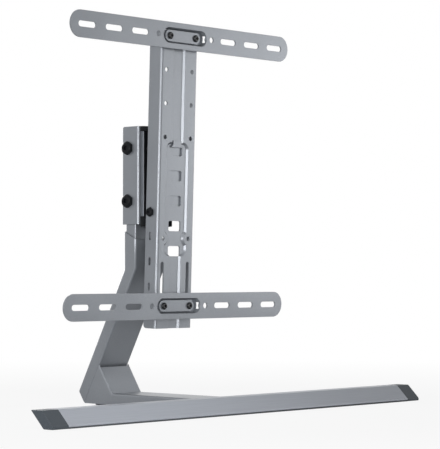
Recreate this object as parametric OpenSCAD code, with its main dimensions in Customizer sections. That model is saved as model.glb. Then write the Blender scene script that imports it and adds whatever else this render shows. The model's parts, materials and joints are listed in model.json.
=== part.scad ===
// Television stand with a swivelling mount: a weighted front bar, a leaning neck, a hinge post,
// a pressed sheet mast and two slotted bracket bars. X runs across, Y to the back, Z up,
// and the origin is the middle of the footprint on the floor.

/* [Footprint] */
// Depth of the whole stand from the bar's front edge to the heel of the neck
stand_depth = 334; // [300:1:400]
// Thickness of the rubber under the bar and the channel
rubber_t = 2.2; // [1.5:0.1:4]

/* [Front bar] */
// Length of the aluminium bar between its end caps
bar_len = 722; // [500:1:1000]
// Depth of the bar's section, front to back
bar_w = 21.5; // [18:0.5:32]
// Height of the bar's section
bar_h = 22; // [20:0.5:32]
// How far the bar's top sits behind its bottom
bar_lean = 20.5; // [8:0.5:28]
// Height of the upright lip along the bar's front bottom edge
bar_lip = 2; // [1:0.1:3]
// Wall of the bar
bar_wall = 2; // [1.5:0.1:3]
// Length of each end cap that shows
cap_len = 29; // [12:1:60]
// Length of each end cap's plug inside the bar
cap_plug_len = 16; // [8:1:30]
// Wall of the end caps' plugs
cap_wall = 2; // [1.2:0.1:3]
// Clearance of the plugs inside the bar
end_gap = 0.25; // [0.1:0.05:0.5]
// Depth of the rubber strip under the bar
strip_w = 7; // [5:0.5:9]

/* [Base channel] */
// Height of the channel
channel_h = 17; // [15:0.5:20]
// Wall of the channel and its wedge
channel_wall = 2; // [1.6:0.1:3]
// Height above the floor of the wedge's top on the neck
wedge_top_z = 62; // [45:1:90]
// How far the wedge reaches in front of the neck at the channel's top
wedge_reach = 51; // [35:1:70]
// Open gap between the wedge's top edge and the neck
wedge_gap = 4; // [2:0.5:8]
// How far the bolted wall behind that gap ends below the wedge's top
bolt_wall_drop = 8; // [6:0.5:9]
// Width of the steel joining plate between bar and channel
joiner_w = 50; // [40:1:56]
// Thickness of the joining plate
joiner_t = 5; // [4:0.5:6]
// Reach of the joining plate into the channel
joiner_reach = 52; // [40:1:80]
// Spacing of the joining plate's screws across the bar
joiner_screw_pitch = 32; // [20:1:38]
// Play between the joining plate and the bar's front wall
joiner_inset = 1; // [0.5:0.1:1.5]
// Distance of the rear screws from the joining plate's end
joiner_rear_inset = 12; // [8:0.5:20]
// Outer radius of the channel's folded edges
fold_r = 3; // [2.5:0.1:4]
// Width of the opening underneath to the neck bolts
access_w = 40; // [30:1:48]
// Length of that opening
access_len = 26; // [20:1:30]
// Diameter of the rubber feet
foot_d = 18; // [12:1:24]
// Distance of the feet from the middle
foot_x = 19; // [14:0.5:22]
// Distance of the feet in front of the neck's toe
foot_from_toe = 24; // [20:0.5:28]
// How much narrower the feet are at the floor
foot_taper = 1; // [0:0.1:2]
// Diameter of the feet's studs
foot_stud_d = 6; // [5:0.1:7]

/* [Neck] */
// Width of the neck and the base channel
neck_w = 64; // [56:1:76]
// Depth of the neck's upright part
neck_d = 25; // [22:0.5:34]
// Wall of the neck
neck_wall = 2; // [1.6:0.1:3]
// Outer bend radius of the neck
neck_r = 4; // [2:0.5:6]
// Height of the bend on the neck's front
bend_front_z = 208.5; // [180:0.5:240]
// Height of the bend on the neck's back
bend_back_z = 205.5; // [178:0.5:238]
// Height of the neck's top edge at the front
neck_top_front_z = 252; // [244:1:262]
// Height of the neck's top edge at the back
neck_top_back_z = 264; // [256:1:270]
// Height of the neck's heel corner
heel_z = 21.6; // [15:0.2:35]
// Backward slope of the neck's lower part in degrees
neck_lean = 28.25; // [24:0.05:32]
// Spacing of the two neck bolts across the neck
neck_bolt_pitch = 30; // [20:1:36]

/* [Inner tongue and hinge post] */
// Lowest point of the tongue inside the neck
tongue_z = 216; // [212:1:230]
// Height of the tongue
tongue_len = 194; // [180:1:200]
// Wall of the tongue
tongue_wall = 2; // [1.5:0.1:3]
// Clearance between tongue and neck or post
tongue_gap = 0.3; // [0.2:0.05:0.5]
// Height above the floor of the post's lower end
post_z = 274; // [271:0.5:280]
// Height of the post
post_h = 147; // [140:1:156]
// Depth of the post's side walls
post_d = 33; // [30:0.5:38]
// Sheet thickness of the post
post_t = 2.5; // [2:0.1:3.5]
// Outer bend radius of the post
post_r = 4; // [3:0.5:6]
// Width of the post
post_w = 70; // [66:0.5:76]
// How far the post's back edges stand behind the tongue
post_overhang = 1.3; // [0.5:0.1:4]
// Corner radius at the top of the post's side walls
post_corner_r = 3; // [2:0.5:8]
// Height of the lower post bolt above the post's lower end
post_bolt_z = 35; // [25:1:45]
// Spacing of the two post bolts
post_bolt_pitch = 79.5; // [60:0.5:90]
// Width across the flats of the post bolts' heads
post_head_af = 18; // [15:0.5:20]
// Height of those heads
post_head_h = 6.5; // [5:0.5:9]
// Diameter of the spacers between tongue and post
spacer_d = 20; // [14:0.5:24]

/* [Hinge] */
// Distance from the hinge axis to the post's front
hinge_off = 12.5; // [12:0.25:14]
// Diameter of the hinge pin
pin_d = 10; // [8:0.5:11]
// Running clearance round the hinge pin
pin_gap = 0.1; // [0.05:0.01:0.1]
// Width of the hinge bracket
hinge_w = 54; // [44:1:58]
// Thickness of the hinge bracket's back
hinge_t = 3; // [2:0.25:3.5]
// Width of the hinge bracket's lugs against the post
lug_w = 62; // [56:1:64]
// Radius of the hinge bracket's lugs
lug_r = 17; // [14:0.5:19]
// Thickness of the upper lug
lug_top_t = 7.5; // [5:0.5:10]
// Thickness of the lower lug
lug_bottom_t = 15; // [10:0.5:18]
// How far the lower lug reaches below the post
lug_drop = 3; // [1:0.5:4]
// Height of the two hinge bracket bolts above and below the middle of the bracket
hinge_bolt_z = 40; // [25:1:45]
// Spacing of the hinge bracket bolts across the post
hinge_bolt_pitch = 32; // [26:1:36]
// Flange thickness of the hinge bushes
bush_flange_t = 2; // [1.5:0.1:3]
// Flange diameter of the hinge bushes
bush_flange_d = 17.4; // [15:0.2:17.6]
// Wall of the hinge bushes inside the carrier's lugs
bush_wall = 1.5; // [1:0.1:2]
// Diameter of the hinge pin's countersunk head
pin_head_d = 16; // [14:0.5:18]
// Width across the flats of the hinge nut
pin_nut_af = 16; // [14:0.5:18]
// Height of the hinge nut
pin_nut_h = 6; // [4:0.5:8]

/* [Mast] */
// Forward lean of the mast in degrees
mast_lean = 1.86; // [0:0.02:3]
// Length of the mast
mast_len = 450; // [445:1:480]
// Width of the mast
mast_w = 77; // [74:1:84]
// Depth of the mast's side flanges
mast_d = 25; // [22:0.5:27]
// Sheet thickness of the mast
mast_t = 2.2; // [1.8:0.1:2.6]
// Outer bend radius of the mast
mast_r = 4; // [3:0.5:5]
// Height above the floor of the mast's lower end
mast_z = 119; // [115:0.5:125]
// Distance from the hinge axis forward to the mast's front at its lower end
mast_off = 26.5; // [26:0.25:29]
// Depth of the pressed recess down the mast
press_depth = 3; // [2:0.25:3.5]
// Half width of the narrow recess at the mast's front
press_narrow = 12; // [9:0.5:13]
// Half width of the wide recess at the mast's front
press_wide = 23.5; // [21:0.5:24.5]
// Lower end of the wide recess, up the mast
press_wide_from = 107; // [102:1:112]
// Upper end of the wide recess, up the mast
press_wide_to = 277; // [274:1:280]
// Corner radius of the wide recess
press_corner_r = 11; // [6:0.5:11]
// Radius of the flat land round each of the lower pair of holes
land_r = 9.5; // [8:0.25:10]
// Spacing of the television bracket holes across the mast
hole_pitch_x = 54; // [53:0.5:56]
// Spacing of the bracket holes up the mast
hole_pitch_z = 50; // [50:1:50]
// Pairs of spare holes below the upper bracket
hole_rows = 3; // [1:1:3]
// Diameter of the bracket holes and width of the slots
hole_d = 6.6; // [6.2:0.1:7]
// Lower end of the long slots, up the mast
slot_from = 22; // [18:1:24]
// Upper end of the long slots, up the mast
slot_to = 99; // [90:1:100]
// Number of windows up the mast
window_count = 5; // [5:1:5]
// Spacing of the windows and flange slots up the mast
window_pitch = 37.4; // [37:0.1:37.6]
// Middle of the lowest window, up the mast
window_from = 114.8; // [114:0.2:116]
// Width of a window
window_w = 25; // [20:0.5:28]
// Height of a window
window_h = 15.2; // [12:0.2:17]
// Corner radius of a window
window_r = 3; // [1:0.5:5]
// Lowest flange slot, up the mast
flange_slot_from = 61.8; // [60:0.2:63]
// Distance of the flange slots behind the mast's front
flange_slot_y = 15.5; // [14:0.25:17]
// Number of flange slots
flange_slot_count = 4; // [4:1:4]
// Length of a flange slot
flange_slot_len = 12; // [8:0.5:16]
// Width of a flange slot
flange_slot_w = 4.4; // [4.2:0.1:5]

/* [Carrier] */
// Sheet thickness of the carrier
carrier_t = 2.5; // [2:0.25:3.5]
// Outer bend radius of the carrier
carrier_r = 3; // [2.5:0.25:4]
// Depth of the carrier's sides
carrier_d = 16.5; // [15:0.5:18]
// Lower end of the carrier, up the mast
carrier_from = 164; // [162:0.5:166]
// Height of the carrier
carrier_len = 126; // [122:1:128]
// Clearance between carrier and mast
carrier_gap = 0.3; // [0.2:0.05:0.5]
// Outer diameter of the carrier's sleeve
sleeve_d = 16; // [15.8:0.1:17]
// Diameter of the round backs of the carrier's lugs
carrier_lug_d = 17.4; // [17.2:0.1:17.6]
// Thickness of the carrier's lugs
carrier_lug_t = 4; // [3:0.25:6]
// Width of the hook
hook_w = 23; // [16:0.5:24]
// Thickness of the hook's seat and tip
hook_t = 2.5; // [2:0.1:2.6]
// Height of the hook's tip above its seat
hook_tip = 8; // [5:0.5:9]
// Chamfer of the tip's corners
hook_chamfer = 1; // [0.4:0.1:1.5]

/* [Television brackets] */
// Length of a bracket bar
bracket_len = 465; // [440:1:520]
// Height of a bracket bar
bracket_h = 39; // [36:0.5:44]
// Sheet thickness of a bracket bar
bracket_t = 2.5; // [2:0.1:3]
// Middle of the lower bracket, up the mast
lower_at = 33.7; // [32:0.1:36]
// Middle of the upper bracket below the mast's upper end
upper_from_top = 16.3; // [15:0.1:18]
// Distance of the outermost slots from the middle
slot_outer_x = 200; // [196:0.5:205]
// Spacing of the slots along the bracket
slot_pitch = 53; // [48:0.5:55]
// Number of slots on each side
slot_count = 3; // [2:1:3]
// Length of a bracket slot
bracket_slot_len = 34; // [20:0.5:40]
// Width of a bracket slot
bracket_slot_w = 8.6; // [8.3:0.1:9]
// Distance of the round holes from the middle
round_hole_x = 57; // [54:0.5:60]
// Length of the lanced bridge in the middle of a bracket
bridge_len = 92; // [92:0.5:94]
// Height of the bridge's opening
bridge_h = 23; // [21:0.5:23.5]
// Height of the bridge's floor
bridge_floor_h = 18; // [17.5:0.5:19]
// Depth of the bridge's floor behind the bracket's front
bridge_depth = 8; // [6.9:0.1:9]
// Height of the relief window in each round end of the bridge
bridge_relief_h = 10; // [6:0.5:12]
// Sideways travel of a bracket on its clamp, each way
side_travel = 6; // [2:0.5:6]
// Length of a clamp plate
clamp_len = 74; // [68:0.5:74]
// Height of a clamp plate
clamp_h = 17; // [14:0.5:17.5]
// Thickness of a clamp plate
clamp_t = 2.5; // [2:0.1:2.8]
// Clearance of everything that slides
slide_gap = 0.3; // [0.2:0.05:0.5]

/* [Fasteners] */
// Diameter of the clamp, bracket and joining screws
m6_d = 6; // [5:0.1:6]
// Head diameter of those screws
m6_head_d = 10.5; // [9:0.1:11.5]
// Head height of those screws
m6_head_h = 3.3; // [2.5:0.1:3.5]
// Diameter of the neck and post bolts
m8_d = 8; // [7:0.1:8]
// Head height of the neck and post bolts
m8_head_h = 5; // [4:0.1:6]
// Width across the flats of the large nuts and bolt heads
m8_af = 13; // [12:0.1:14]
// Width across the flats of the small screws' sockets
m6_socket_af = 4; // [3:0.5:5]
// Height of the low heads under the bar and channel
low_head_h = 1.7; // [1:0.1:1.9]
// Width across the flats of the small nuts
m6_af = 10; // [9:0.1:10]
// Height of the small nuts
m6_nut_h = 5; // [4:0.1:5.2]
// Height of the large nuts
m8_nut_h = 6.5; // [5:0.1:8]
// Clearance round a screw in its hole
screw_gap = 0.3; // [0.2:0.05:0.4]
// Diameter of the lock screw
lock_d = 4; // [3:0.1:4]
// Width across the flats of the lock screw's head
lock_head_af = 12; // [8:0.5:13]
// Head height of the lock screw
lock_head_h = 5; // [3:0.5:8]
// Height of the lock screw up the mast
lock_at = 172; // [171:0.5:176]

/* [Hidden] */
$fn = 48;

steel = "silver";
black = "#15171a";
slate = "#4d545a";

// Reach of the solids that only cut
far = 400;
// Reach of the wedge's solids before they are cut
reach = 100;
// Overshoot of a cut past the face that it opens
over = 1;
// Smallest inner radius of a bend
least_r = 0.5;

// Base, front to back
front_y = -stand_depth / 2;
bar_slope = bar_lean / (bar_h - bar_lip);
bar_wall_shift = bar_wall * sqrt(1 + bar_slope * bar_slope);
bar_z = rubber_t;
channel_top = rubber_t + channel_h;
heel_y = stand_depth / 2;
toe_z = rubber_t;
// Chords in each corner of the neck and of the channel
corner_steps = 5;

// Neck, from the bend up and from the bend down
neck_back_y = heel_y - (bend_back_z - heel_z) * tan(neck_lean);
neck_front_y = neck_back_y - neck_d;
neck_y = (neck_front_y + neck_back_y) / 2;
toe_y = neck_front_y + (bend_front_z - toe_z) * tan(neck_lean);
bend_angle = atan((bend_back_z - bend_front_z) / neck_d);
leg_d = neck_d / cos(bend_angle) * cos(neck_lean - bend_angle);
neck_bolt_up = [22, 44];
foot_y = toe_y - foot_from_toe;

// Channel
bar_back_y = bar_back_at(bar_z);
joiner_front_y = bar_front_at(bar_z + bar_wall) + bar_wall_shift + joiner_inset;
joiner_screw_y = [bar_back_y - m6_head_d / 2 - screw_gap,
                  bar_back_y + joiner_reach - joiner_rear_inset];
wedge_y = neck_front_at(channel_top) - wedge_reach;
wedge_top_y = neck_front_at(wedge_top_z);

// Post and tongue
tongue_w = neck_w - 2 * neck_wall - 2 * tongue_gap;
tongue_d = neck_d - 2 * neck_wall - 2 * tongue_gap;
post_back_y = neck_y + tongue_d / 2 + post_overhang;
post_front_y = post_back_y - post_d;
post_bolts_z = [post_z + post_bolt_z, post_z + post_bolt_z + post_bolt_pitch];

// Hinge
axis_y = post_front_y - hinge_off;
hinge_z = post_z - lug_drop;
hinge_top = post_z + post_h;
hinge_mid = (post_z + hinge_top) / 2;
seat_z = hinge_z + lug_bottom_t;
roof_z = hinge_top - lug_top_t;
carrier_lug_z = seat_z + slide_gap + bush_flange_t;
carrier_lug_top = roof_z - slide_gap - bush_flange_t;
pin_bore = pin_d + 2 * pin_gap;

// Mast, in its own leaning frame
upper_at = mast_len - upper_from_top;
holes_at = [for (i = [1 : hole_rows]) upper_at - i * hole_pitch_z];
land_at = lower_at + 2 * hole_pitch_z;
window_at = [for (i = [0 : window_count - 1]) window_from + i * window_pitch];
flange_slot_at = [for (i = [0 : flange_slot_count - 1]) flange_slot_from + i * window_pitch];
hook_seat = window_at[window_count - 1] + window_h / 2;
bend_share = tan(22.5);

// Brackets
bracket_y = -slide_gap - bridge_depth - bracket_t;
clamp_y = bracket_y + bridge_depth - slide_gap - clamp_t;
slot_x = [for (i = [0 : slot_count - 1]) slot_outer_x - i * slot_pitch];
screw_hole_d = m6_d + 2 * screw_gap;
hex_to_round = 1 / cos(30);
// Shares of a socket head: its straight rim, the width of its crown and its socket's depth
rim_share = 0.45;
crown_share = 0.72;
socket_share = 0.6;
// Shares of a hand bolt's head: its full hexagon, its turned face, its dimple's width and bottom
hexagon_share = 0.55;
face_share = 0.85;
dimple_share = 0.4;
dimple_bottom = 0.6;
// Share of the sheet by which a bridge's walls stand proud of its floor
bridge_root = 0.6;

// Rounded rectangle in the plane, centred
module rounded(w, d, r) {
  square([w - 2 * r, d], center = true);
  square([w, d - 2 * r], center = true);
  for (x = [-1, 1], y = [-1, 1])
    translate([x * (w / 2 - r), y * (d / 2 - r)]) circle(r);
}

// Section of a bent or drawn rectangular tube, centred
module tube_section(w, d, r, t) {
  difference() {
    rounded(w, d, r);
    rounded(w - 2 * t, d - 2 * t, max(r - t, least_r));
  }
}

// Section of a folded channel: web along the front at y = 0, sides going back
module channel_section(w, d, r, t) {
  inner_r = max(r - t, least_r);
  difference() {
    union() {
      translate([-w / 2 + r, 0]) square([w - 2 * r, d]);
      translate([-w / 2, r]) square([w, d - r]);
      for (x = [-1, 1]) translate([x * (w / 2 - r), r]) circle(r);
    }
    translate([-w / 2 + t + inner_r, t]) square([w - 2 * t - 2 * inner_r, d]);
    translate([-w / 2 + t, t + inner_r]) square([w - 2 * t, d]);
    for (x = [-1, 1]) translate([x * (w / 2 - t - inner_r), t + inner_r]) circle(inner_r);
  }
}

// Outline with round ends, along X, centred
module stadium(len, h) {
  square([len - h, h], center = true);
  for (x = [-1, 1]) translate([x * (len - h) / 2, 0]) circle(h / 2);
}

// Solid of an XZ outline, from y = from to y = to
module slab_y(from, to) {
  translate([0, to, 0]) rotate([90, 0, 0]) linear_extrude(to - from) children();
}

// Solid of a YZ outline across the stand, centred on X
module slab_x(w) {
  rotate([90, 0, 90]) translate([0, 0, -w / 2]) linear_extrude(w) children();
}

// Half space in front of (below) a line through p in the YZ plane that rises at this angle
module below_line(p, angle) {
  translate([0, p[0], p[1]]) rotate([angle, 0, 0])
    translate([-far / 2, -far, -far]) cube([far, 2 * far, far]);
}

// The mast's own frame: front plane y = 0, lower end z = 0
module leaning() {
  translate([0, axis_y - mast_off, mast_z]) rotate([mast_lean, 0, 0]) children();
}

// Hexagonal nut or head along +Y from y = 0, with a bore
module hex_y(af, h, bore) {
  rotate([-90, 0, 0]) difference() {
    cylinder(d = af * hex_to_round, h = h, $fn = 6);
    if (bore > 0) translate([0, 0, -over]) cylinder(d = bore, h = h + 2 * over);
  }
}

// Socket head screw along +Y: the head's seat is y = 0
module socket_screw_y(d, len, head_d, head_h, socket_af) {
  rotate([-90, 0, 0]) difference() {
    union() {
      cylinder(d = d, h = len);
      translate([0, 0, -head_h * rim_share]) cylinder(d = head_d, h = head_h * rim_share);
      translate([0, 0, -head_h])
        cylinder(d1 = head_d * crown_share, d2 = head_d, h = head_h * (1 - rim_share));
    }
    translate([0, 0, -head_h - over])
      cylinder(d = socket_af * hex_to_round, h = head_h * socket_share + over, $fn = 6);
  }
}

// Front and back of the leaning bar at this height
function bar_front_at(z) = front_y + (z - bar_z - bar_lip) * bar_slope;

function bar_back_at(z) = bar_front_at(z) + bar_w;

// Section of the front bar, drawn in from all sides by inset
module bar_section(inset) {
  side = inset * sqrt(1 + bar_slope * bar_slope);
  low = bar_z + inset;
  high = bar_z + bar_h - inset;
  intersection() {
    polygon([
      [bar_front_at(low) + side, low],
      [bar_back_at(low) - side, low],
      [bar_back_at(high) - side, high],
      [bar_front_at(high) + side, high]
    ]);
    translate([front_y, 0]) square([far, far]);
  }
}

module front_bar() color(steel) {
  difference() {
    slab_x(bar_len) bar_section(0);
    slab_x(bar_len + 2 * over) bar_section(bar_wall);
    // Window in the back wall for the joining plate
    translate([-joiner_w / 2 - screw_gap, bar_back_y - bar_wall * 2, bar_z + bar_wall])
      cube([joiner_w + 2 * screw_gap, bar_lean + bar_wall * 2, joiner_t + screw_gap]);
    for (x = [-1, 1]) translate([x * joiner_screw_pitch / 2, joiner_screw_y[0], 0])
      cylinder(d = screw_hole_d, h = bar_z + bar_wall + over);
  }
}

// The cap fills the section where it shows, and its hollow plug fits inside the bar
module end_cap(side) {
  mirror([side > 0 ? 0 : 1, 0, 0]) translate([bar_len / 2, 0, 0]) difference() {
    union() {
      translate([cap_len / 2, 0, 0]) slab_x(cap_len) bar_section(0);
      translate([-cap_plug_len / 2, 0, 0])
        slab_x(cap_plug_len + over) bar_section(bar_wall + end_gap);
    }
    translate([-cap_plug_len / 2, 0, 0])
      slab_x(cap_plug_len + 2 * over) bar_section(bar_wall + end_gap + cap_wall);
  }
}

module end_cap_left() color(slate) end_cap(-1);

module end_cap_right() color(slate) end_cap(1);

module bar_grip_strip() color(black) {
  translate([-bar_len / 2, front_y, 0]) cube([bar_len, strip_w, rubber_t]);
}

// Steel plate that carries the bar on the end of the channel
module bar_joining_plate() color(steel) {
  low = bar_z + bar_wall;
  high = low + joiner_t;
  difference() {
    // Its front edge leans with the bar's wall
    slab_x(joiner_w) polygon([
      [joiner_front_y, low],
      [bar_back_y + joiner_reach, low],
      [bar_back_y + joiner_reach, high],
      [joiner_front_y + joiner_t * bar_slope, high]
    ]);
    for (x = [-1, 1], y = joiner_screw_y)
      translate([x * joiner_screw_pitch / 2, y, bar_z]) cylinder(d = m6_d, h = bar_h);
  }
}

// Low head screws from below, two in the bar and two in the channel
module joining_screws() color(black) {
  for (x = [-1, 1], y = joiner_screw_y)
    translate([x * joiner_screw_pitch / 2, y, bar_z]) difference() {
      union() {
        translate([0, 0, -low_head_h]) cylinder(d = m6_head_d, h = low_head_h);
        cylinder(d = m6_d, h = bar_wall + joiner_t);
      }
      translate([0, 0, -low_head_h - over])
        cylinder(d = m6_socket_af * hex_to_round, h = low_head_h, $fn = 6);
    }
}

// Point on the neck's front at this height
function neck_front_at(z) = neck_front_y + (bend_front_z - z) * tan(neck_lean);

// Solid with a flat top and folded edges: its top passes p in the YZ plane at this angle above
// the floor, from before p to after p, and the solid lies h deep under it
module folded_run(p, angle, before, after, h) {
  side = neck_w / 2 - fold_r;
  arc = [for (i = [0 : corner_steps])
    let (a = i * 90 / corner_steps) [side + fold_r * cos(a), fold_r * (1 - sin(a))]];
  translate([0, p[0], p[1]]) rotate([angle, 0, 0]) rotate([-90, 0, 0])
    translate([0, 0, -before]) linear_extrude(before + after) polygon(concat(arc, [for (i = [corner_steps : -1 : 0]) [-arc[i][0], arc[i][1]]],
                   [[-neck_w / 2, h], [neck_w / 2, h]]));
}

// Hollow of the base channel and its wedge, seen from the side and open towards the bar
module channel_hollow() {
  t = channel_wall;
  wedge_slope = (wedge_top_y - wedge_y) / (wedge_top_z - channel_top);
  wedge_shift = t * sqrt(1 + wedge_slope * wedge_slope);
  neck_shift = t / cos(neck_lean);
  high = channel_top - t;
  low = toe_z + t;
  // Where the drawn-in wedge and neck lines cross
  cross_z = wedge_top_z - (wedge_shift + neck_shift) / (wedge_slope + tan(neck_lean));
  polygon([
    [bar_back_at(low) - bar_w, low],
    [bar_back_at(high) - bar_w, high],
    [wedge_y + wedge_shift - t * wedge_slope, high],
    [neck_front_at(cross_z) - neck_shift, cross_z],
    [neck_front_at(low) - neck_shift, low]
  ]);
}

module base_channel() color(steel) {
  wedge_angle = atan((wedge_top_z - channel_top) / (wedge_top_y - wedge_y));
  kink = [wedge_y, channel_top];
  difference() {
    union() {
      // Level part, up to the mitre at the kink
      difference() {
        folded_run([bar_back_y, channel_top], 0, 0, wedge_y - bar_back_y + channel_h, channel_h);
        below_line(kink, 90 + wedge_angle / 2);
        slab_x(neck_w + 2 * over) polygon([
          [bar_back_at(0) - bar_w, 0], [bar_back_at(0), 0],
          [bar_back_at(bar_h), bar_h], [bar_back_at(bar_h) - bar_w, bar_h]
        ]);
      }
      // Wedge, from the mitre to the neck
      intersection() {
        folded_run(kink, wedge_angle, reach / 2, reach, reach);
        below_line(kink, 90 + wedge_angle / 2);
        slab_x(neck_w + 2 * over) polygon([
          [wedge_y - reach, toe_z], [neck_front_at(toe_z), toe_z],
          [neck_front_at(reach), reach], [wedge_y - reach, reach]
        ]);
      }
    }
    slab_x(neck_w - 2 * channel_wall) channel_hollow();
    // The wedge stops short of the neck
    translate([0, wedge_top_y, wedge_top_z]) rotate([neck_lean, 0, 0])
      translate([-neck_w / 2 + channel_wall, -wedge_gap, -bolt_wall_drop])
        cube([neck_w - 2 * channel_wall, wedge_gap + over, reach]);
    // Opening underneath to reach the neck bolts
    translate([-access_w / 2, wedge_y, 0]) cube([access_w, access_len, toe_z + channel_wall + over]);
    for (x = [-1, 1]) translate([x * joiner_screw_pitch / 2, joiner_screw_y[1], 0])
      cylinder(d = screw_hole_d, h = toe_z + channel_wall + over);
    for (x = [-1, 1]) translate([x * foot_x, foot_y, 0])
      cylinder(d = foot_stud_d, h = toe_z + channel_wall + over);
    neck_bolt_holes();
  }
}

// Puts a child on the neck's front face: y = 0 on the face and +Y into the neck
module on_neck_bolts() {
  for (x = [-1, 1], i = [0, 1])
    translate([x * neck_bolt_pitch / 2, neck_front_at(neck_bolt_up[i]), neck_bolt_up[i]])
      rotate([neck_lean, 0, 0]) children();
}

module neck_bolt_holes() {
  on_neck_bolts() translate([0, -channel_wall - over, 0]) rotate([-90, 0, 0])
    cylinder(d = m8_d + 2 * screw_gap, h = channel_wall + neck_wall + 2 * over);
}

module rubber_feet() color(black) {
  for (x = [-1, 1]) translate([x * foot_x, foot_y, 0]) {
    cylinder(d1 = foot_d - foot_taper, d2 = foot_d, h = rubber_t);
    cylinder(d = foot_stud_d, h = toe_z + channel_wall);
  }
}

// Outline of the neck's section with its depth scaled by k, so that both lengths meet at the bend.
// Its corners have corner_steps chords each.
module neck_outline(w, d, r, k) {
  polygon([
    for (c = [0 : 3], i = [0 : corner_steps])
      let (a = c * 90 + i * 90 / corner_steps, sx = c == 0 || c == 3 ? 1 : -1, sy = c < 2 ? 1 : -1)
        [sx * (w / 2 - r) + r * cos(a), k * (sy * (d / 2 - r) + r * sin(a))]
  ]);
}

module neck_section(k) {
  difference() {
    neck_outline(neck_w, neck_d, neck_r, k);
    neck_outline(neck_w - 2 * neck_wall, neck_d - 2 * neck_wall, neck_r - neck_wall, k);
  }
}

// Leaning part of the neck, drawn as a section along its length
module neck_leg() {
  translate([0, neck_front_y, bend_front_z]) rotate([neck_lean, 0, 0])
    translate([0, leg_d / 2, -far]) linear_extrude(far + neck_d) children();
}

// Upright and leaning lengths of the neck, cut to the same line at the bend
module neck() color(steel) {
  top_angle = atan((neck_top_back_z - neck_top_front_z) / neck_d);
  end_angle = atan((heel_z - toe_z) / (heel_y - toe_y));
  difference() {
    intersection() {
      translate([0, neck_y, 0]) linear_extrude(neck_top_back_z + over) neck_section(1);
      below_line([neck_front_y, neck_top_front_z], top_angle);
    }
    below_line([neck_front_y, bend_front_z], bend_angle);
  }
  difference() {
    intersection() {
      neck_leg() neck_section(leg_d / neck_d);
      below_line([neck_front_y, bend_front_z], bend_angle);
    }
    below_line([toe_y, toe_z], end_angle);
    neck_bolt_holes();
  }
  // Plate that closes the heel
  intersection() {
    neck_leg() neck_outline(neck_w - neck_wall, neck_d - neck_wall, neck_r - neck_wall / 2, leg_d / neck_d);
    translate([0, toe_y, toe_z]) rotate([end_angle, 0, 0])
      translate([-neck_w / 2, 0, 0]) cube([neck_w, neck_d * 2, neck_wall]);
  }
}

module neck_bolts() color(black) {
  on_neck_bolts() translate([0, -channel_wall - m8_head_h, 0]) {
    hex_y(m8_af, m8_head_h, 0);
    translate([0, m8_head_h, 0]) rotate([-90, 0, 0])
      cylinder(d = m8_d, h = channel_wall + neck_wall + m8_nut_h + over);
  }
}

module neck_nuts() color(steel) {
  on_neck_bolts() translate([0, neck_wall * leg_d / neck_d, 0]) hex_y(m8_af, m8_nut_h, m8_d);
}

module neck_tongue() color(steel) {
  difference() {
    translate([0, neck_y, tongue_z]) linear_extrude(tongue_len)
      tube_section(tongue_w, tongue_d, neck_r - neck_wall, tongue_wall);
    for (z = post_bolts_z) translate([-far / 2, neck_y, z]) rotate([0, 90, 0])
      cylinder(d = m8_d + 2 * screw_gap, h = far);
  }
}

module hinge_post() color(steel) {
  difference() {
    translate([0, post_front_y, post_z]) linear_extrude(post_h)
      channel_section(post_w, post_d, post_r, post_t);
    for (z = post_bolts_z) translate([-far / 2, neck_y, z]) rotate([0, 90, 0])
      cylinder(d = m8_d + 2 * screw_gap, h = far);
    on_hinge_bolts() rotate([-90, 0, 0])
      cylinder(d = screw_hole_d, h = hinge_t + post_t + over);
    // Rounded upper back corners of the side walls
    translate([-far / 2, post_back_y - post_corner_r, hinge_top - post_corner_r])
      rotate([0, 90, 0]) difference() {
        translate([-post_corner_r - over, 0, 0])
          cube([post_corner_r + over, post_corner_r + over, far]);
        cylinder(r = post_corner_r, h = far);
      }
  }
}

// Hexagonal head with a turned face and a dimple, along -Y from y = 0
module knob_y(af, h) {
  corner = af * hex_to_round;
  rotate([90, 0, 0]) difference() {
    intersection() {
      rotate(30) cylinder(d = corner, h = h, $fn = 6);
      union() {
        cylinder(d = corner + over, h = h * hexagon_share);
        translate([0, 0, h * hexagon_share])
          cylinder(d1 = corner + over, d2 = af * face_share, h = h * (1 - hexagon_share));
      }
    }
    translate([0, 0, h * dimple_bottom]) cylinder(d = af * dimple_share, h = h);
  }
}

// Bolts right through post and tongue, with their heads on the left
module post_bolts() color(black) {
  for (z = post_bolts_z) translate([-post_w / 2, neck_y, z]) rotate([0, 0, -90]) {
    knob_y(post_head_af, post_head_h);
    rotate([-90, 0, 0]) cylinder(d = m8_d, h = post_w + m8_nut_h);
  }
}

// Spacers on the bolts between the tongue and the post's sides
module post_spacers() color(steel) {
  spacer_t = post_w / 2 - post_t - tongue_w / 2;
  for (z = post_bolts_z, x = [-tongue_w / 2 - spacer_t, tongue_w / 2])
    translate([x, neck_y, z]) rotate([0, 90, 0]) difference() {
      cylinder(d = spacer_d, h = spacer_t);
      translate([0, 0, -over]) cylinder(d = m8_d + 2 * screw_gap, h = spacer_t + 2 * over);
    }
}

module post_nuts() color(black) {
  for (z = post_bolts_z) translate([post_w / 2, neck_y, z]) rotate([0, 0, -90])
    hex_y(m8_af, m8_nut_h, m8_d);
}

// Puts a child at each hinge bracket bolt: y = 0 on the bracket's front, +Y into the post
module on_hinge_bolts() {
  for (x = [-1, 1], z = [-1, 1])
    translate([x * hinge_bolt_pitch / 2, post_front_y - hinge_t, hinge_mid + z * hinge_bolt_z])
      children();
}

// Lug of the hinge bracket, seen from above, with its back on the post
module lug_outline() {
  intersection() {
    circle(lug_r);
    translate([-far / 2, hinge_off - far]) square(far);
  }
  polygon([
    [-lug_w / 2, hinge_off], [lug_w / 2, hinge_off], [lug_w / 2, hinge_off - hinge_t],
    [lug_r, 0], [-lug_r, 0], [-lug_w / 2, hinge_off - hinge_t]
  ]);
}

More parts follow.
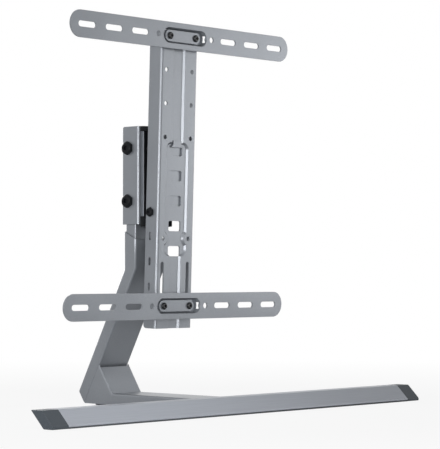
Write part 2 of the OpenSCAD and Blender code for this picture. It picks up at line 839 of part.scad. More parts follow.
module hinge_bracket() color(black) {
  difference() {
    union() {
      translate([-hinge_w / 2, post_front_y - hinge_t, post_z])
        cube([hinge_w, hinge_t, hinge_top - post_z]);
      translate([0, axis_y, hinge_z]) linear_extrude(lug_bottom_t) lug_outline();
      translate([0, axis_y, roof_z]) linear_extrude(lug_top_t) lug_outline();
    }
    translate([0, axis_y, hinge_z - over])
      cylinder(d = pin_d, h = hinge_top - hinge_z + 2 * over);
    pin_head();
    on_hinge_bolts() rotate([-90, 0, 0]) translate([0, 0, -over])
      cylinder(d = screw_hole_d, h = hinge_t + 2 * over);
  }
}

module hinge_bracket_bolts() color(black) {
  on_hinge_bolts() socket_screw_y(m6_d, hinge_t + post_t + m6_nut_h, m6_head_d, m6_head_h, m6_socket_af);
}

module hinge_bracket_nuts() color(black) {
  on_hinge_bolts() translate([0, hinge_t + post_t, 0]) hex_y(m6_af, m6_nut_h, m6_d);
}

// Countersunk head of the hinge pin, flush with the upper lug
module pin_head() {
  head_h = (pin_head_d - pin_d) / 2;
  translate([0, axis_y, hinge_top - head_h]) cylinder(d1 = pin_d, d2 = pin_head_d, h = head_h);
}

module hinge_pin() color(black) {
  translate([0, axis_y, hinge_z - pin_nut_h])
    cylinder(d = pin_d, h = hinge_top - hinge_z + pin_nut_h);
  pin_head();
}

module hinge_nut() color(black) {
  translate([0, axis_y, hinge_z - pin_nut_h]) difference() {
    cylinder(d = pin_nut_af * hex_to_round, h = pin_nut_h, $fn = 6);
    translate([0, 0, -over]) cylinder(d = pin_d, h = pin_nut_h + 2 * over);
  }
}

// Flanged bush pressed into a carrier lug from outside
module bush() {
  difference() {
    union() {
      translate([0, 0, -bush_flange_t]) cylinder(d = bush_flange_d, h = bush_flange_t);
      cylinder(d = pin_bore + 2 * bush_wall, h = carrier_lug_t);
    }
    translate([0, 0, -bush_flange_t - over])
      cylinder(d = pin_bore, h = bush_flange_t + carrier_lug_t + 2 * over);
  }
}

module hinge_bushes() color(black) {
  translate([0, axis_y, carrier_lug_z]) bush();
  translate([0, axis_y, carrier_lug_top]) mirror([0, 0, 1]) bush();
}

// Right and left half of the hook's tip, from its lower edge to its top
function hook_tip_outline() =
  let (low = hook_seat - carrier_gap - hook_t, high = hook_seat - carrier_gap + hook_tip,
       shoulder = press_wide_to - press_depth - carrier_gap,
       wide = hook_w / 2, narrow = press_narrow - press_depth - carrier_gap,
       half = [[wide - hook_chamfer, low], [wide, low + hook_chamfer],
               [wide, shoulder - wide + narrow], [narrow, shoulder],
               [narrow, high - hook_chamfer], [narrow - hook_chamfer, high]])
    concat(half, [for (i = [len(half) - 1 : -1 : 0]) [-half[i][0], half[i][1]]]);

// Carrier: a channel behind the mast's web, a hook through the top window,
// and two lugs with a sleeve round the hinge pin
module mast_carrier() color(steel) {
  web_y = press_depth + mast_t + carrier_gap;
  side_w = mast_w - 2 * mast_t - 2 * carrier_gap;
  tip_y = press_depth - carrier_gap - hook_t;
  lug_to = axis_y - mast_off - (carrier_from + carrier_len) * sin(mast_lean) + web_y + carrier_d;
  difference() {
    union() {
      leaning() {
        translate([0, web_y, carrier_from]) linear_extrude(carrier_len)
          channel_section(side_w, carrier_d, carrier_r, carrier_t);
        // Seat of the hook, shaped like the top of the window it passes through
        translate([0, 0, hook_seat - window_h / 2]) slab_y(tip_y, web_y + over) intersection() {
          rounded(window_w - 2 * carrier_gap, window_h - 2 * carrier_gap, window_r);
          translate([-far / 2, window_h / 2 - carrier_gap - hook_t]) square([far, hook_t]);
        }
        // Tip of the hook, standing up in front of the window and drawn in where the recess narrows
        slab_y(tip_y, tip_y + hook_t) polygon(hook_tip_outline());
      }
      // Lugs, let into the web and sides
      intersection() {
        for (z = [carrier_lug_z, carrier_lug_top - carrier_lug_t])
          translate([0, 0, z]) linear_extrude(carrier_lug_t) {
            translate([0, axis_y]) circle(d = carrier_lug_d);
            polygon([
              [-carrier_lug_d / 2, axis_y], [carrier_lug_d / 2, axis_y],
              [side_w / 2, lug_to - over], [side_w / 2, -far],
              [-side_w / 2, -far], [-side_w / 2, lug_to - over]
            ]);
          }
        leaning() translate([-side_w / 2 + over, web_y + over, 0])
          cube([side_w - 2 * over, far, mast_len]);
      }
      translate([0, axis_y, carrier_lug_z + over])
        cylinder(d = sleeve_d, h = carrier_lug_top - carrier_lug_z - 2 * over);
    }
    translate([0, axis_y, carrier_lug_z - over])
      cylinder(d = pin_bore, h = carrier_lug_top - carrier_lug_z + 2 * over);
    for (z = [carrier_lug_z - over, carrier_lug_top - carrier_lug_t])
      translate([0, axis_y, z])
        cylinder(d = pin_bore + 2 * bush_wall, h = carrier_lug_t + over);
    leaning() translate([-side_w / 2 - over, flange_slot_y, lock_at]) rotate([0, 90, 0])
      cylinder(d = lock_d, h = carrier_t + 2 * over);
  }
}

module lock_screw() color(black) {
  leaning() translate([-mast_w / 2, flange_slot_y, lock_at]) rotate([0, 0, -90]) {
    knob_y(lock_head_af, lock_head_h);
    rotate([-90, 0, 0]) cylinder(d = lock_d, h = mast_t + carrier_gap + carrier_t);
  }
}

// Bar with sloping sides: half widths at the mouth and at the bottom of the recess
module trench(mouth, bottom, from, to, y0, depth) {
  translate([0, 0, from]) linear_extrude(to - from) polygon([
    [-mouth, y0], [mouth, y0], [bottom, y0 + depth], [-bottom, y0 + depth]
  ]);
}

// The pressed recess as a solid from y0 to y0 + depth, with its outline grown all round
module pressing(grow, y0, depth) {
  w = press_wide + grow;
  r = press_corner_r + grow;
  low = press_wide_from - grow;
  high = press_wide_to + grow;
  trench(press_narrow + grow, press_narrow + grow - depth, -over, mast_len + over, y0, depth);
  difference() {
    union() {
      trench(w, w - depth, low + r, high - r, y0, depth);
      // Ends between the corners
      translate([-w + r, 0, 0]) rotate([90, 0, 90]) linear_extrude(2 * (w - r)) polygon([
        [y0, low], [y0, high], [y0 + depth, high - depth], [y0 + depth, low + depth]
      ]);
      for (x = [-1, 1], z = [low + r, high - r])
        translate([x * (w - r), y0, z]) rotate([-90, 0, 0])
          cylinder(r1 = r, r2 = r - depth, h = depth);
    }
    for (x = [-1, 1]) translate([x * hole_pitch_x / 2, y0, land_at])
      rotate([-90, 0, 0]) cylinder(r1 = land_r - grow, r2 = land_r - grow + depth, h = depth);
  }
}

module mast() color(steel) {
  leaning() difference() {
    union() {
      linear_extrude(mast_len) channel_section(mast_w, mast_d, mast_r, mast_t);
      intersection() {
        pressing(mast_t * bend_share, mast_t, press_depth);
        translate([-mast_w / 2, 0, 0]) cube([mast_w, mast_d, mast_len]);
      }
    }
    translate([0, -over, 0]) trench(press_narrow, press_narrow, -over, mast_len + over, 0, over);
    pressing(0, 0, press_depth);
    for (z = window_at) translate([0, 0, z]) slab_y(-over, mast_d)
      rounded(window_w, window_h, window_r);
    for (x = [-1, 1], z = concat(holes_at, [land_at, upper_at]))
      translate([x * hole_pitch_x / 2, -over, z]) rotate([-90, 0, 0])
        cylinder(d = hole_d, h = mast_d);
    for (x = [-1, 1]) translate([x * hole_pitch_x / 2, 0, (slot_from + slot_to) / 2])
      slab_y(-over, mast_d) rotate(90) stadium(slot_to - slot_from, hole_d);
    for (z = flange_slot_at) translate([0, flange_slot_y, z]) slab_x(mast_w + 2 * over)
      rotate(90) stadium(flange_slot_len, flange_slot_w);
  }
}

// Places a bracket's own frame on the mast: z = 0 at its middle
module on_mast(up, y) {
  leaning() translate([0, y, up]) children();
}

// One bracket bar: a flat bar whose middle is lanced and pressed back as a bridge,
// so that the clamp and its screws lie below the face that meets the television
module bracket_bar() {
  wall_half = (bridge_len - bridge_h) / 2;
  mouth = bridge_h / 2;
  floor_half = bridge_floor_h / 2;
  wall = [
    [0, mouth], [0, mouth + bracket_t], [bracket_t, mouth + bracket_t],
    [bridge_depth + bracket_t, floor_half + bracket_t * bridge_root],
    [bridge_depth + bracket_t, floor_half - bracket_t],
    [bridge_depth, floor_half - bracket_t], [bridge_depth, floor_half]
  ];
  screw_slot = m6_d + 2 * screw_gap;
  difference() {
    union() {
      difference() {
        slab_y(0, bracket_t) stadium(bracket_len, bracket_h);
        slab_y(-over, bracket_t + over) stadium(bridge_len, bridge_h);
      }
      slab_y(bridge_depth, bridge_depth + bracket_t)
        stadium(2 * wall_half + bridge_floor_h, bridge_floor_h);
      // Sloping walls of the bridge: straight above and below, round at the ends
      for (s = [0, 1]) mirror([0, 0, s]) slab_x(2 * wall_half) polygon(wall);
      for (s = [0, 1]) mirror([s, 0, 0]) translate([wall_half, 0, 0]) rotate([-90, 0, 0])
        rotate([0, 0, -90]) rotate_extrude(angle = 180) polygon([for (p = wall) [p[1], p[0]]]);
    }
    for (x = slot_x, s = [-1, 1]) translate([s * x, 0, 0]) slab_y(-over, bracket_t + over)
      stadium(bracket_slot_len, bracket_slot_w);
    for (s = [-1, 1]) {
      translate([s * round_hole_x, 0, 0]) slab_y(-over, bracket_t + over) circle(d = bracket_slot_w);
      translate([s * hole_pitch_x / 2, 0, 0]) slab_y(bridge_depth - over, bridge_depth + bracket_t + over)
        stadium(screw_slot + 2 * side_travel + 2 * slide_gap, screw_slot);
      mirror([s > 0 ? 0 : 1, 0, 0]) translate([wall_half, bracket_t, -bridge_relief_h / 2])
        cube([mouth + over, bridge_depth - bracket_t, bridge_relief_h]);
    }
  }
}

module clamp_plate() {
  difference() {
    slab_y(0, clamp_t) stadium(clamp_len, clamp_h);
    for (x = [-1, 1]) translate([x * hole_pitch_x / 2, -over, 0]) rotate([-90, 0, 0])
      cylinder(d = screw_hole_d, h = clamp_t + 2 * over);
  }
}

// gap is the play between mast and nut
module clamp_screws(gap) {
  for (x = [-1, 1]) translate([x * hole_pitch_x / 2, 0, 0])
    socket_screw_y(m6_d, mast_t - clamp_y + gap + m6_nut_h, m6_head_d, m6_head_h, m6_socket_af);
}

module clamp_nuts() {
  for (x = [-1, 1]) translate([x * hole_pitch_x / 2, 0, 0]) hex_y(m6_af, m6_nut_h, m6_d);
}

module upper_bracket() color(steel) on_mast(upper_at, bracket_y) bracket_bar();

module upper_clamp_plate() color(steel) on_mast(upper_at, clamp_y) clamp_plate();

module upper_clamp_screws() color(black) on_mast(upper_at, clamp_y) clamp_screws(0);

module upper_clamp_nuts() color(steel) on_mast(upper_at, mast_t) clamp_nuts();

module lower_bracket() color(steel) on_mast(lower_at, bracket_y) bracket_bar();

module lower_clamp_plate() color(steel) on_mast(lower_at, clamp_y) clamp_plate();

module lower_clamp_screws() color(black) on_mast(lower_at, clamp_y) clamp_screws(slide_gap);

module lower_clamp_nuts() color(steel) on_mast(lower_at, mast_t + slide_gap) clamp_nuts();

front_bar();
end_cap_left();
end_cap_right();
bar_grip_strip();
bar_joining_plate();
joining_screws();
base_channel();
rubber_feet();
neck();
neck_bolts();
neck_nuts();
neck_tongue();
hinge_post();
post_bolts();
post_spacers();
post_nuts();
hinge_bracket();
hinge_bracket_bolts();
hinge_bracket_nuts();
hinge_pin();
hinge_nut();
hinge_bushes();
mast_carrier();
lock_screw();
mast();
upper_bracket();
upper_clamp_plate();
upper_clamp_screws();
upper_clamp_nuts();
lower_bracket();
lower_clamp_plate();
lower_clamp_screws();
lower_clamp_nuts();
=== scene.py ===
import json
import math

import bpy
from mathutils import Matrix, Vector

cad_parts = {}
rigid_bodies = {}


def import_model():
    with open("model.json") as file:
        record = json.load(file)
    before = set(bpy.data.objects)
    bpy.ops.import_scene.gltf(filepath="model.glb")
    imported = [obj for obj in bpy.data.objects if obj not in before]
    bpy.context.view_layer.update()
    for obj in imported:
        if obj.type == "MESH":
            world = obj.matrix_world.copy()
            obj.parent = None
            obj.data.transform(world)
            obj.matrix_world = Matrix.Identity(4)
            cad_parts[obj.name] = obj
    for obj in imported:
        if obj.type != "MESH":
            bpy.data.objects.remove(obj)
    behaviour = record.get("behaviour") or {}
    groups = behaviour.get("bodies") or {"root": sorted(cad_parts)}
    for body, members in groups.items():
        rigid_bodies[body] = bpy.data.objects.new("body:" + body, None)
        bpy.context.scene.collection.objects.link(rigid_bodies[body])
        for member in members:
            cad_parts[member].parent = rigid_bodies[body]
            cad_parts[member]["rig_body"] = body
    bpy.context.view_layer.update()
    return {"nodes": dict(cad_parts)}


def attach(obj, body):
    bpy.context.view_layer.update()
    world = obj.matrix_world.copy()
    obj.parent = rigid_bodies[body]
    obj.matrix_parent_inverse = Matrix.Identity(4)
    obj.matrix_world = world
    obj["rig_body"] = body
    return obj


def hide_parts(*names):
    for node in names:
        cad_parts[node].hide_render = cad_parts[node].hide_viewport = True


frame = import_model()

mm = 0.001
print("stage: frame loaded,", len(frame["nodes"]), "nodes")


# ---- small tools ----

def pickNothing():
    if bpy.context.object and bpy.context.object.mode != "OBJECT":
        bpy.ops.object.mode_set(mode="OBJECT")
    bpy.ops.object.select_all(action="DESELECT")


def pickOnly(piece):
    pickNothing()
    piece.select_set(True)
    bpy.context.view_layer.objects.active = piece


def applyModifier(piece, kind, **settings):
    pickOnly(piece)
    modifier = piece.modifiers.new(kind.title(), kind)
    for key, value in settings.items():
        setattr(modifier, key, value)
    bpy.ops.object.modifier_apply(modifier=modifier.name)


def linearColour(hexText):  # sRGB hex to the linear colour that shaders take
    channels = [int(hexText[i:i + 2], 16) / 255 for i in (1, 3, 5)]
    return [c / 12.92 if c <= 0.04045 else ((c + 0.055) / 1.055) ** 2.4 for c in channels] + [1]


def addNode(tree, kind, inputs=None, **settings):
    node = tree.nodes.new(kind)
    for key, value in settings.items():
        setattr(node, key, value)
    for key, value in (inputs or {}).items():
        if isinstance(value, bpy.types.NodeSocket):
            tree.links.new(value, node.inputs[key])
        else:
            node.inputs[key].default_value = value
    return node


# ---- materials ----

def startMaterial(name):
    material = bpy.data.materials.new(name)
    material.use_nodes = True
    tree = material.node_tree
    shader = tree.nodes["Principled BSDF"]
    place = addNode(tree, "ShaderNodeTexCoord").outputs["Object"]
    return material, tree, shader, place


def patternOf(tree, place, size, detail=2, stretch=(1, 1, 1)):
    # noise whose grains are about this size in metres, stretched along the axes
    placed = addNode(tree, "ShaderNodeMapping", {"Vector": place, "Scale": stretch}).outputs[0]
    return addNode(tree, "ShaderNodeTexNoise", {"Vector": placed, "Scale": 1 / size, "Detail": detail}).outputs["Fac"]


def rangeOf(tree, pattern, low, high, fromLow=0.3, fromHigh=0.7):
    return addNode(tree, "ShaderNodeMapRange", {"Value": pattern, "From Min": fromLow, "From Max": fromHigh,
                                                "To Min": low, "To Max": high}).outputs[0]


def mixColours(tree, share, first, second):
    sockets = {"Factor": share, 6: first, 7: second}  # 6, 7 and 2 are the node's colour sockets
    return addNode(tree, "ShaderNodeMix", sockets, data_type="RGBA").outputs[2]


def twoTones(tree, share, darkHex, lightHex):
    return mixColours(tree, share, linearColour(darkHex), linearColour(lightHex))


def roughen(tree, shader, height, depth, strength):
    bump = addNode(tree, "ShaderNodeBump", {"Height": height, "Distance": depth, "Strength": strength})
    tree.links.new(bump.outputs[0], shader.inputs["Normal"])


# Silver powder coat on sheet steel: satin, with fine metal flake and a faint orange peel
powderCoat = {"dark": "#888c92", "light": "#94989e", "metallic": 0.4, "roughLow": 0.3, "roughHigh": 0.36,
              "cloud": 90 * mm, "peel": 1.6 * mm, "flake": 0.7 * mm, "peelDepth": 0.03 * mm,
              "toneFrom": 0.7, "toneTo": 1.3, "bump": 0.5}


def makePowderCoat(name, values):
    material, tree, shader, place = startMaterial(name)
    cloud = patternOf(tree, place, values["cloud"], detail=1)
    flake = patternOf(tree, place, values["flake"], detail=0)  # drawn coarser than the real 0.05 mm flake, to show
    both = addNode(tree, "ShaderNodeMath", {0: cloud, 1: flake}, operation="ADD").outputs[0]
    tone = rangeOf(tree, both, 0, 1, values["toneFrom"], values["toneTo"])
    tree.links.new(twoTones(tree, tone, values["dark"], values["light"]), shader.inputs["Base Color"])
    tree.links.new(rangeOf(tree, cloud, values["roughLow"], values["roughHigh"]), shader.inputs["Roughness"])
    shader.inputs["Metallic"].default_value = values["metallic"]
    peel = patternOf(tree, place, values["peel"], detail=1)
    roughen(tree, shader, peel, values["peelDepth"], values["bump"])
    return material


# Natural anodised aluminium extrusion: satin, with faint draw lines along its length
anodised = {"dark": "#abb0b9", "light": "#b3b8c1", "metallic": 0.15, "roughLow": 0.36, "roughHigh": 0.42,
            "line": 0.9 * mm, "lineStretch": (0.012, 1, 1), "lineDepth": 0.004 * mm, "bump": 0.5}


def makeAnodised(name, values):
    material, tree, shader, place = startMaterial(name)
    line = patternOf(tree, place, values["line"], detail=1, stretch=values["lineStretch"])
    tree.links.new(twoTones(tree, rangeOf(tree, line, 0, 1), values["dark"], values["light"]),
                   shader.inputs["Base Color"])
    tree.links.new(rangeOf(tree, line, values["roughLow"], values["roughHigh"]), shader.inputs["Roughness"])
    shader.inputs["Metallic"].default_value = values["metallic"]
    roughen(tree, shader, line, values["lineDepth"], values["bump"])
    return material


grainBump = 0.6  # how strongly the grain of the plain finishes shows


# Any plain finish with a fine grain: moulded plastic, black oxide, zinc plate, rubber, nylon
def makeGrained(name, values):
    material, tree, shader, place = startMaterial(name)
    grain = patternOf(tree, place, values["grain"])
    tree.links.new(twoTones(tree, rangeOf(tree, grain, 0, 1), values["dark"], values["light"]),
                   shader.inputs["Base Color"])
    tree.links.new(rangeOf(tree, grain, values["roughLow"], values["roughHigh"]), shader.inputs["Roughness"])
    shader.inputs["Metallic"].default_value = values["metallic"]
    shader.inputs["Specular IOR Level"].default_value = values["gloss"]
    roughen(tree, shader, grain, values["depth"], grainBump)
    return material


grainedFinishes = {
    # ABS caps moulded in slate grey with a spark-eroded texture, matt
    "mouldedSlateAbs": {"dark": "#40474e", "light": "#4a5056", "metallic": 0, "gloss": 0.4, "roughLow": 0.5,
                        "roughHigh": 0.62, "grain": 0.9 * mm, "depth": 0.04 * mm},
    # steel with a satin black powder coat, nearly smooth
    "satinBlackSteel": {"dark": "#0e1013", "light": "#14161a", "metallic": 0, "gloss": 0.15, "roughLow": 0.4,
                        "roughHigh": 0.5, "grain": 1.2 * mm, "depth": 0.02 * mm},
    # hardened socket screws with oiled black oxide, glossier than the painted bracket
    "blackOxideSteel": {"dark": "#101114", "light": "#1b1c1f", "metallic": 0.3, "gloss": 0.6, "roughLow": 0.2,
                        "roughHigh": 0.32, "grain": 1.4 * mm, "depth": 0.01 * mm},
    # bright zinc plate on nuts and spacers, slightly cloudy
    "zincPlatedSteel": {"dark": "#9a9b98", "light": "#b3b3af", "metallic": 0.9, "gloss": 0.5, "roughLow": 0.28,
                        "roughHigh": 0.4, "grain": 2.5 * mm, "depth": 0.01 * mm},
    # moulded grey rubber, matt
    "mouldedRubber": {"dark": "#4c4f53", "light": "#575a5e", "metallic": 0, "gloss": 0.3, "roughLow": 0.72,
                      "roughHigh": 0.85, "grain": 0.7 * mm, "depth": 0.05 * mm},
    # black nylon bushes, turned, a little waxy
    "turnedNylon": {"dark": "#1d1d1f", "light": "#29292b", "metallic": 0, "gloss": 0.4, "roughLow": 0.4,
                    "roughHigh": 0.5, "grain": 1.0 * mm, "depth": 0.02 * mm},
}

# Hinge bracket: satin black, but its plate's side edges between the two blocks have the post's silver coat
edgedPlate = {"edgeFrom": 26.2 * mm, "middle": 349.8 * mm, "halfHeight": 63.5 * mm, "silverGloss": 0.4}


def makeEdgedPlate(name, values, black, silver):
    material, tree, shader, place = startMaterial(name)
    axes = addNode(tree, "ShaderNodeSeparateXYZ", {0: place}).outputs
    between = addNode(tree, "ShaderNodeMath", {0: axes["Z"], 1: values["middle"], 2: values["halfHeight"]},
                      operation="COMPARE").outputs[0]
    inner = addNode(tree, "ShaderNodeMath", {0: axes["X"], 1: 0, 2: values["edgeFrom"]}, operation="COMPARE").outputs[0]
    edge = addNode(tree, "ShaderNodeMath", {0: between, 1: inner}, operation="SUBTRACT", use_clamp=True).outputs[0]
    grain = patternOf(tree, place, black["grain"])
    share = rangeOf(tree, grain, 0, 1)
    coats = [twoTones(tree, share, coat["dark"], coat["light"]) for coat in (black, silver)]
    tree.links.new(mixColours(tree, edge, *coats), shader.inputs["Base Color"])
    for socket, low, high in (("Metallic", black["metallic"], silver["metallic"]),
                              ("Roughness", black["roughHigh"], silver["roughHigh"]),
                              ("Specular IOR Level", black["gloss"], values["silverGloss"])):
        tree.links.new(rangeOf(tree, edge, low, high, 0, 1), shader.inputs[socket])
    roughen(tree, shader, grain, black["depth"], grainBump)
    return material


finishes = {name: makeGrained(name, values) for name, values in grainedFinishes.items()}
finishes["blackAndSilverSteel"] = makeEdgedPlate("blackAndSilverSteel", edgedPlate,
                                                 grainedFinishes["satinBlackSteel"], powderCoat)
finishes["silverPowderCoat"] = makePowderCoat("silverPowderCoat", powderCoat)
finishes["anodisedAluminium"] = makeAnodised("anodisedAluminium", anodised)
print("stage: materials made,", len(finishes))


# ---- pieces ----

def bodyOf(nodeName):
    return frame["nodes"][nodeName]["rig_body"]


def takePlace(piece, nodeName, finish):
    piece.data.materials.clear()
    piece.data.materials.append(finishes[finish])
    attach(piece, bodyOf(nodeName))
    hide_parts(nodeName)
    return piece


def roundCorners(piece, spots, radius, reach, segments):  # rounds the edges whose middles are at these points
    points = piece.data.vertices
    bpy.ops.object.mode_set(mode="EDIT")
    bpy.ops.mesh.select_mode(type="EDGE")
    bpy.ops.mesh.select_all(action="DESELECT")
    bpy.ops.object.mode_set(mode="OBJECT")
    for edge in piece.data.edges:
        middle = (points[edge.vertices[0]].co + points[edge.vertices[1]].co) / 2
        edge.select = any((middle - Vector(spot)).length < reach for spot in spots)
    bpy.ops.object.mode_set(mode="EDIT")
    bpy.ops.mesh.bevel(offset=radius, segments=segments, affect="EDGES")
    bpy.ops.object.mode_set(mode="OBJECT")


# corners of the mast's flanges, rounded by the blanking tool; the shape model leaves them square
flangeCorners = {"mast": {"radius": 5 * mm, "reach": 0.2 * mm, "segments": 6,
                          "spots": [(x * mm, y * mm, z * mm) for x in (-37.4, 37.4)
                                    for y, z in ((20.17, 119.81), (5.57, 569.57))]}}


# the caps reach down to the floor beside the grip strip; the shape model ends them level with the bar
capReach = {"below": 2.3 * mm, "middle": -157 * mm, "down": 2.1 * mm, "slant": 2.15 * mm}


def reachDown(piece, below, middle, down, slant):
    points = piece.data.vertices
    for back, shift in ((False, (0, 0, -down)), (True, (0, -slant, -down))):  # the back wall goes on along its slope
        bpy.ops.object.mode_set(mode="EDIT")
        bpy.ops.mesh.select_mode(type="VERT")
        bpy.ops.mesh.select_all(action="DESELECT")
        bpy.ops.object.mode_set(mode="OBJECT")
        for point in points:
            point.select = point.co.z < below and (point.co.y > middle) == back
        bpy.ops.object.mode_set(mode="EDIT")
        bpy.ops.transform.translate(value=shift)
        bpy.ops.object.mode_set(mode="OBJECT")


# how every copy's points are merged and its edges broken; angles in degrees
softening = {"merge": 0.02 * mm, "flat": 0.6, "broken": 34, "smooth": 35, "segments": 2}


def softenedCopy(nodeName, pieceName, edge):
    # the node's own shape with its edges broken, as paint and tumbling leave them
    piece = bpy.data.objects.new(pieceName, frame["nodes"][nodeName].data.copy())
    bpy.context.scene.collection.objects.link(piece)
    pickOnly(piece)
    if piece.data.has_custom_normals:
        bpy.ops.mesh.customdata_custom_splitnormals_clear()
    bpy.ops.object.mode_set(mode="EDIT")
    bpy.ops.mesh.select_all(action="SELECT")
    bpy.ops.mesh.remove_doubles(threshold=softening["merge"])
    bpy.ops.mesh.dissolve_limited(angle_limit=math.radians(softening["flat"]))
    bpy.ops.object.mode_set(mode="OBJECT")
    if nodeName in flangeCorners:
        roundCorners(piece, **flangeCorners[nodeName])
    if nodeName in ("end_cap_left", "end_cap_right"):
        reachDown(piece, **capReach)
    applyModifier(piece, "BEVEL", width=edge, segments=softening["segments"], limit_method="ANGLE",
                  angle_limit=math.radians(softening["broken"]), use_clamp_overlap=False)
    pickOnly(piece)
    bpy.ops.object.shade_smooth_by_angle(angle=math.radians(softening["smooth"]))
    applyModifier(piece, "WEIGHTED_NORMAL", keep_sharp=True)
    return piece


# node: piece, finish and how far its edges are broken, in millimetres
plainPieces = {
    "front_bar": ("frontBar", "anodisedAluminium", 0.35),
    "end_cap_left": ("leftEndCap", "mouldedSlateAbs", 0.8),
    "end_cap_right": ("rightEndCap", "mouldedSlateAbs", 0.8),
    "bar_grip_strip": ("gripStrip", "mouldedRubber", 0.4),
    "bar_joining_plate": ("joiningPlate", "silverPowderCoat", 0.3),
    "joining_screws": ("joiningScrews", "blackOxideSteel", 0.15),
    "base_channel": ("baseChannel", "silverPowderCoat", 0.3),
    "rubber_feet": ("rubberFeet", "mouldedRubber", 0.4),
    "neck": ("neckTube", "silverPowderCoat", 0.3),
    "neck_bolts": ("neckBolts", "blackOxideSteel", 0.3),
    "neck_nuts": ("neckNuts", "zincPlatedSteel", 0.3),
    "neck_tongue": ("innerTube", "silverPowderCoat", 0.3),
    "hinge_post": ("hingePost", "silverPowderCoat", 0.4),
    "post_bolts": ("postBolts", "satinBlackSteel", 0.4),
    "post_spacers": ("postSpacers", "zincPlatedSteel", 0.3),
    "post_nuts": ("postNuts", "satinBlackSteel", 0.4),
    "hinge_bracket": ("hingeBracket", "blackAndSilverSteel", 0.6),
    "hinge_bracket_bolts": ("bracketBolts", "blackOxideSteel", 0.25),
    "hinge_bracket_nuts": ("bracketNuts", "zincPlatedSteel", 0.3),
    "hinge_pin": ("hingePin", "satinBlackSteel", 0.3),
    "hinge_nut": ("hingeNut", "satinBlackSteel", 0.4),
    "hinge_bushes": ("hingeBushes", "turnedNylon", 0.2),
    "mast_carrier": ("mastCarrier", "silverPowderCoat", 0.3),
    "lock_screw": ("lockScrew", "satinBlackSteel", 0.3),
    "mast": ("pressedMast", "silverPowderCoat", 0.3),
    "upper_bracket": ("upperBracketBar", "silverPowderCoat", 0.35),
    "upper_clamp_plate": ("upperClampPlate", "silverPowderCoat", 0.35),
    "upper_clamp_screws": ("upperClampScrews", "blackOxideSteel", 0.25),
    "upper_clamp_nuts": ("upperClampNuts", "zincPlatedSteel", 0.3),
    "lower_bracket": ("lowerBracketBar", "silverPowderCoat", 0.35),
    "lower_clamp_plate": ("lowerClampPlate", "silverPowderCoat", 0.35),
    "lower_clamp_screws": ("lowerClampScrews", "blackOxideSteel", 0.25),
    "lower_clamp_nuts": ("lowerClampNuts", "zincPlatedSteel", 0.3),
}
for nodeName, (pieceName, finish, edge) in plainPieces.items():
    takePlace(softenedCopy(nodeName, pieceName, edge * mm), nodeName, finish)
print("stage: pieces made,", len(plainPieces))


# ---- floor, light and camera ----

studio = {"floorSize": 60, "floorTone": "#c8cacc", "floorWhite": 0.91, "floorMirrored": 0.5, "ambient": 0.02,
          "shadedRadius": 0.5, "whiteRadius": 1.6, "floorHeight": -0.2 * mm,
          "near": {"at": (-2.3, -2.45, 0.25), "aim": (0, 0, 0.28), "size": 0.8, "power": 34},
          "lowRight": {"at": (2.4, -1.7, 0.45), "aim": (0, 0, 0.28), "size": 1.0, "power": 10.5},
          "lowLeft": {"at": (-1.7, -0.4, 0.3), "aim": (0, 0, 0.28), "size": 0.7, "power": 11.5},
          "barSpot": {"at": (-0.6, -1.8, 1.3), "aim": (-0.25, -0.2, 0), "size": 0.5, "cone": 26, "power": 62},
          "back": {"at": (1.0, 2.6, 1.0), "aim": (0, 0, 0.28), "size": 1.2, "power": 45}}


def backgroundRays(tree, mirrored):  # 1 for rays from the camera, mirrored for those that gloss or glass sends on
    rays = addNode(tree, "ShaderNodeLightPath").outputs
    sent = addNode(tree, "ShaderNodeMath", {0: rays["Is Glossy Ray"], 1: rays["Is Transmission Ray"]},
                   operation="MAXIMUM").outputs[0]
    share = addNode(tree, "ShaderNodeMath", {0: sent, 1: mirrored}, operation="MULTIPLY").outputs[0]
    return addNode(tree, "ShaderNodeMath", {0: rays["Is Camera Ray"], 1: share}, operation="MAXIMUM").outputs[0]


def makeFloor():
    pickNothing()
    bpy.ops.mesh.primitive_plane_add(size=studio["floorSize"], location=(0, 0, studio["floorHeight"]))
    floor = bpy.context.object
    floor.name = "floor"
    material = bpy.data.materials.new("paleFloor")
    material.use_nodes = True
    tree = material.node_tree
    tree.nodes.remove(tree.nodes["Principled BSDF"])
    paint = addNode(tree, "ShaderNodeBsdfDiffuse", {"Color": linearColour(studio["floorTone"])})
    glow = addNode(tree, "ShaderNodeEmission", {"Color": (1, 1, 1, 1), "Strength": 1})
    place = addNode(tree, "ShaderNodeTexCoord").outputs["Object"]
    away = addNode(tree, "ShaderNodeVectorMath", {0: place}, operation="LENGTH").outputs["Value"]
    white = rangeOf(tree, away, studio["floorWhite"], 1, studio["shadedRadius"], studio["whiteRadius"])  # no horizon
    share = addNode(tree, "ShaderNodeMath", {0: backgroundRays(tree, studio["floorMirrored"]), 1: white},
                    operation="MULTIPLY")
    mixed = addNode(tree, "ShaderNodeMixShader", {0: share.outputs[0], 1: paint.outputs[0], 2: glow.outputs[0]})
    tree.links.new(mixed.outputs[0], tree.nodes["Material Output"].inputs["Surface"])
    floor.data.materials.append(material)


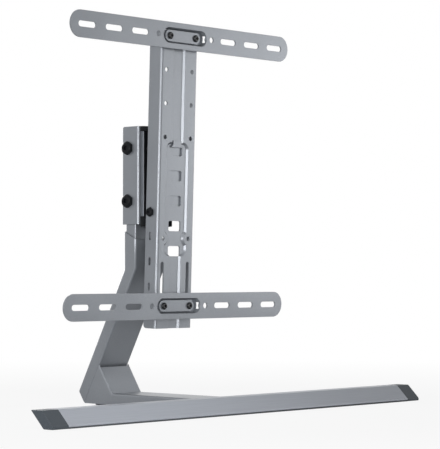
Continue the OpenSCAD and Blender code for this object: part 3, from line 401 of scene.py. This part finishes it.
def makeWorld():
    world = bpy.data.worlds.new("studioWorld")
    bpy.context.scene.world = world
    world.use_nodes = True
    tree = world.node_tree
    background = tree.nodes["Background"]
    background.inputs["Color"].default_value = (1, 1, 1, 1)
    strength = rangeOf(tree, backgroundRays(tree, 1), studio["ambient"], 1, 0, 1)
    tree.links.new(strength, background.inputs["Strength"])


def addLamp(name):
    values = studio[name]
    if "cone" in values:
        lamp = bpy.data.lights.new(name, "SPOT")
        lamp.spot_size, lamp.spot_blend, lamp.shadow_soft_size = math.radians(values["cone"]), 1, values["size"] / 2
    else:
        lamp = bpy.data.lights.new(name, "AREA")
        lamp.shape, lamp.size = "DISK", values["size"]
    lamp.energy = values["power"]
    holder = bpy.data.objects.new(name + "Lamp", lamp)
    holder.location = values["at"]
    holder.rotation_mode = "QUATERNION"
    holder.rotation_quaternion = (Vector(values["aim"]) - Vector(values["at"])).to_track_quat("-Z", "Y")
    bpy.context.scene.collection.objects.link(holder)


# pinhole fitted to slots, windows and bar ends of the photograph, which is 440 x 449 pixels
view = {"eye": (-2.05156, -1.99154, 0.2023), "turn": 47.313, "rise": 1.431, "focalPixels": 1915, "tallPixels": 449,
        "sensor": 36, "clipFrom": 0.05, "clipTo": 200}


def makeCamera():
    turn, rise = math.radians(view["turn"]), math.radians(view["rise"])
    camera = bpy.data.cameras.new("camera")
    camera.lens = view["focalPixels"] * view["sensor"] / view["tallPixels"]
    camera.sensor_width = view["sensor"]
    camera.clip_start, camera.clip_end = view["clipFrom"], view["clipTo"]
    holder = bpy.data.objects.new("camera", camera)
    holder.location = view["eye"]
    ahead = Vector((math.sin(turn) * math.cos(rise), math.cos(turn) * math.cos(rise), math.sin(rise)))
    holder.rotation_mode = "QUATERNION"
    holder.rotation_quaternion = ahead.to_track_quat("-Z", "Y")
    bpy.context.scene.collection.objects.link(holder)
    bpy.context.scene.camera = holder


makeFloor()
makeWorld()
for lampName in ("near", "lowRight", "lowLeft", "barSpot", "back"):
    addLamp(lampName)
makeCamera()
bpy.context.scene.view_settings.view_transform = "Standard"
print("stage: studio made")
